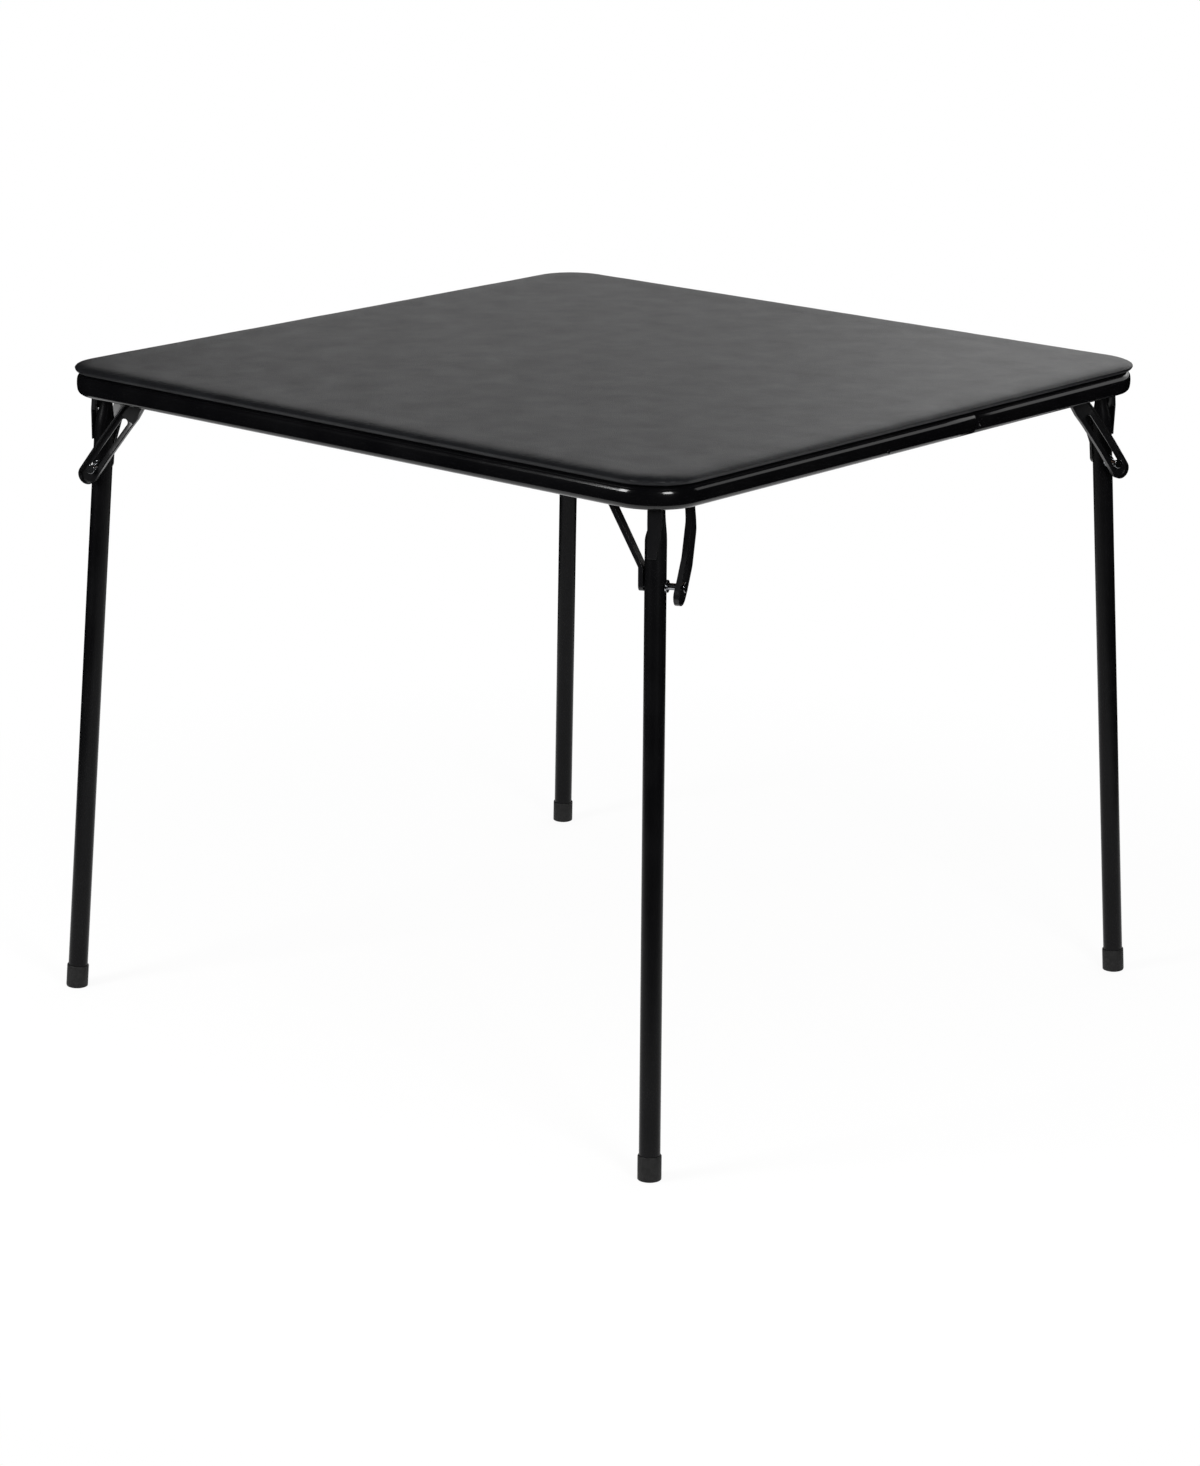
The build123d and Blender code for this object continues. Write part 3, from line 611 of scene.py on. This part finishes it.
# Rings up the cap, each a height and a radius: the sole's edge, the side and the mouth
for level, radius in (
    (0.0003, cap_radius - 0.0005),
    (0.0009, cap_radius - 0.0001),
    (0.0016, cap_radius),
    (cap_height * 0.5, cap_radius),
    (cap_height - 0.0014, cap_radius),
    (cap_height - 0.0004, cap_radius - 0.0003),
    (cap_height, cap_radius - 0.0007),
    (cap_height - 0.0002, tube_radius + 0.00012),
    (cap_height - 0.0030, tube_radius + 0.00005),
):
    loop = next_ring(bm, loop, level, radius, radius)
bmesh.ops.recalc_face_normals(bm, faces=bm.faces)
bmesh.ops.translate(bm, verts=bm.verts, vec=(0, 0, -leg_length))
bmesh.ops.transform(bm, matrix=leg_frame, verts=bm.verts)
# The cap stands along the splay, and its sole is pressed level with the floor
for vertex in bm.verts:
    if vertex.co.z < sole_band:
        vertex.co.z = max(0.0, vertex.co.z * sole_press)
fit_corners(bm, "foot_cap", "leg", rubber)

# Stamped gear: stay, side brace, latch link and brackets, pressed from sheet steel with
# rounded edges, and the link's pin. Satin black enamel gives them soft, dim highlights.
cad_weld = 2e-6
flat_within = math.radians(0.6)
edge_over = math.radians(40)

gear_enamel = black_enamel(
    "satin_enamel_on_pressings", ("#08080a", "#0e0e0f"), (0.24, 0.34), 0.35
)


def softened(corner, piece, part, material, width):
    """The same form as a CAD node, with its flat faces whole and its edges eased."""
    node = f"{corner}_{piece}"
    bm = bmesh.new()
    bm.from_mesh(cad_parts[node].data)
    bmesh.ops.remove_doubles(bm, verts=bm.verts, dist=cad_weld)
    bmesh.ops.dissolve_limit(
        bm, angle_limit=flat_within, verts=list(bm.verts), edges=list(bm.edges)
    )
    shape = finish_piece(
        bm, f"{node}_shape", body_of(corner, part), material, [node], sharp=32
    )
    ease = shape.modifiers.new("eased_edges", "BEVEL")
    ease.width = width
    ease.segments = 2
    ease.limit_method = "ANGLE"
    ease.angle_limit = edge_over


for corner in corner_moves:
    for piece, part, width in (
        ("leg_stay", "leg", 0.0003),
        ("side_brace", "leg", 0.0003),
        ("latch_link", "link", 0.00035),
        ("link_pivot", "link", 0.0002),
        ("hinge_bracket", None, 0.0003),
        ("link_bracket", None, 0.0003),
    ):
        softened(corner, piece, part, gear_enamel, width)

# Bright parts: hinge rods, latch studs and their sleeves, rivets and screws, turned from
# steel wire and zinc plated. Fine turning marks break up their sharp, pale glints.
zinc, tree, output = new_material("bright_zinc_plate")
place = add_node(tree, "ShaderNodeTexCoord").outputs["Object"]
marks = add_node(
    tree, "ShaderNodeTexNoise", {"Scale": 1 / 0.0006, "Detail": 2.0}, {"Vector": place}
)
tone = add_node(
    tree, "ShaderNodeValToRGB", links={"Fac": marks.outputs["Fac"]},
    stops=((0.0, "#85878b"), (1.0, "#b9bbbe")),
)
rough = add_node(
    tree, "ShaderNodeMapRange", {"To Min": 0.1, "To Max": 0.24}, {"Value": marks.outputs["Fac"]}
)
shader = add_node(
    tree,
    "ShaderNodeBsdfPrincipled",
    {"Metallic": 1.0},
    {"Base Color": tone.outputs["Color"], "Roughness": rough.outputs["Result"]},
)
tree.links.new(shader.outputs["BSDF"], output.inputs["Surface"])
for name in ("bracket_rivets", "panel_screws"):
    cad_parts[name].material_slots[0].material = zinc
for corner in corner_moves:
    for piece, part, width in (
        ("latch_stud", "leg", 0.0003),
        ("latch_sleeve", "sleeve", 0.0002),
        ("hinge_rod", None, 0.0003),
    ):
        softened(corner, piece, part, zinc, width)

# Studio: a round white floor, with black cloth hung round it on a dome. The cloth is open
# behind the table, so the top mirrors the white background there and the enamel stays
# dark. One soft box shines on each side of the near corner, and a weak one from behind.
floor_radius = 1.35
shadow_from, shadow_to = 0.8, 1.3
cloth_radius = 5.2
opening_azimuth = math.radians(2)
opening_half_width = math.radians(52)
opening_low = 1.1
opening_high = 2.6
room_light = 0.7


def seen_directly(tree):
    """1 for what the eye sees straight, in a mirror or through glass, and otherwise 0."""
    rays = add_node(tree, "ShaderNodeLightPath")
    both = add_node(
        tree, "ShaderNodeMath", {"operation": "ADD", "use_clamp": True},
        {0: rays.outputs["Is Camera Ray"], 1: rays.outputs["Is Glossy Ray"]},
    )
    return add_node(
        tree, "ShaderNodeMath", {"operation": "ADD", "use_clamp": True},
        {0: both.outputs["Value"], 1: rays.outputs["Is Transmission Ray"]},
    ).outputs["Value"]


def stage_piece(bm, name, material):
    """Puts a piece of the studio in the scene, which isn't part of the table."""
    mesh = bpy.data.meshes.new(name)
    bm.to_mesh(mesh)
    bm.free()
    piece = bpy.data.objects.new(name, mesh)
    bpy.context.collection.objects.link(piece)
    piece.data.materials.append(material)


def soft_box(name, place, aim, wide, tall, power):
    """A rectangular soft light at a place, turned to its aim."""
    lamp = bpy.data.lights.new(name, "AREA")
    lamp.shape = "RECTANGLE"
    lamp.size = wide
    lamp.size_y = tall
    lamp.energy = power
    light = bpy.data.objects.new(name, lamp)
    bpy.context.collection.objects.link(light)
    light.location = place
    light.rotation_euler = (Vector(aim) - Vector(place)).to_track_quat("-Z", "Y").to_euler()


white_floor, tree, output = new_material("white_floor")
paint = add_node(tree, "ShaderNodeBsdfDiffuse", {"Color": linear("#f0f0f0")})
glow = add_node(tree, "ShaderNodeEmission", {"Color": (1, 1, 1, 1), "Strength": 1.0})
# A trace of the shadow shows round the feet, and fades before the floor's rim
place = add_node(tree, "ShaderNodeTexCoord").outputs["Object"]
away = add_node(tree, "ShaderNodeVectorMath", {"operation": "LENGTH"}, {0: place})
share = add_node(
    tree, "ShaderNodeMapRange",
    {"From Min": shadow_from, "From Max": shadow_to, "To Min": 0.9, "To Max": 1.0},
    {"Value": away.outputs["Value"]},
)
seen = add_node(
    tree, "ShaderNodeMath", {"operation": "MULTIPLY"},
    {0: seen_directly(tree), 1: share.outputs["Result"]},
)
mixed = add_node(
    tree, "ShaderNodeMixShader",
    links={"Fac": seen.outputs["Value"], 1: paint.outputs["BSDF"], 2: glow.outputs["Emission"]},
)
# From below the floor is clear, so that the underside of the top can be looked at
clear = add_node(tree, "ShaderNodeBsdfTransparent")
sides = add_node(tree, "ShaderNodeNewGeometry")
one_sided = add_node(
    tree, "ShaderNodeMixShader",
    links={
        "Fac": sides.outputs["Backfacing"],
        1: mixed.outputs["Shader"],
        2: clear.outputs["BSDF"],
    },
)
tree.links.new(one_sided.outputs["Shader"], output.inputs["Surface"])
bm = bmesh.new()
bmesh.ops.create_circle(bm, cap_ends=True, segments=128, radius=floor_radius)
stage_piece(bm, "floor", white_floor)

# Only mirrored rays see the cloth; for the eye and for lamp light it is clear
black_cloth, tree, output = new_material("black_cloth")
rays = add_node(tree, "ShaderNodeLightPath")
clear = add_node(tree, "ShaderNodeBsdfTransparent")
felt = add_node(tree, "ShaderNodeBsdfDiffuse", {"Color": linear("#0a0a0a")})
mixed = add_node(
    tree, "ShaderNodeMixShader",
    links={
        "Fac": rays.outputs["Is Glossy Ray"],
        1: clear.outputs["BSDF"],
        2: felt.outputs["BSDF"],
    },
)
tree.links.new(mixed.outputs["Shader"], output.inputs["Surface"])
bm = bmesh.new()
bmesh.ops.create_uvsphere(bm, u_segments=72, v_segments=36, radius=cloth_radius)
opening = []
for face in bm.faces:
    middle = face.calc_center_median()
    aside = math.remainder(math.atan2(middle.y, middle.x) - opening_azimuth, 2 * math.pi)
    if abs(aside) < opening_half_width and opening_low < middle.z < opening_high:
        opening.append(face)
bmesh.ops.delete(bm, geom=opening, context="FACES")
stage_piece(bm, "black_cloth", black_cloth)

world = bpy.data.worlds.new("studio")
bpy.context.scene.world = world
world.use_nodes = True
tree = world.node_tree
tree.nodes.clear()
output = add_node(tree, "ShaderNodeOutputWorld")
room = add_node(tree, "ShaderNodeBackground", {"Color": (1, 1, 1, 1), "Strength": room_light})
white = add_node(tree, "ShaderNodeBackground", {"Color": (1, 1, 1, 1), "Strength": 1.0})
mixed = add_node(
    tree, "ShaderNodeMixShader",
    links={
        "Fac": seen_directly(tree),
        1: room.outputs["Background"],
        2: white.outputs["Background"],
    },
)
tree.links.new(mixed.outputs["Shader"], output.inputs["Surface"])

soft_box("left_box", (-2.75, 0.95, 1.65), (0, 0, 0.6), 0.9, 1.3, 60)
soft_box("camera_box", (-1.4, -3.0, 1.7), (0, 0, 0.6), 0.9, 1.3, 60)
soft_box("rear_box", (2.9, 0.4, 2.0), (0, 0, 0.7), 2.6, 1.4, 12)

# Camera: where the photograph was taken from, with a long lens and a slight roll.
camera_place = (-3.3202, -2.7891, 1.5683)
yaw, pitch, lean = math.radians(-49.908), math.radians(16.376), math.radians(0.771)
camera_data = bpy.data.cameras.new("camera")
camera_data.sensor_width = 36.0
camera_data.lens = 97.60
camera = bpy.data.objects.new("camera", camera_data)
bpy.context.collection.objects.link(camera)
bpy.context.scene.camera = camera
level_right = Vector((math.cos(yaw), math.sin(yaw), 0))
ahead = Vector(
    (-math.sin(yaw) * math.cos(pitch), math.cos(yaw) * math.cos(pitch), -math.sin(pitch))
)
level_up = level_right.cross(ahead)
right = level_right * math.cos(lean) + level_up * math.sin(lean)
up = level_up * math.cos(lean) - level_right * math.sin(lean)
camera_turn = Matrix((right, up, -ahead)).transposed().to_4x4()
camera.matrix_world = Matrix.Translation(camera_place) @ camera_turn

bpy.context.scene.view_settings.view_transform = "Standard"
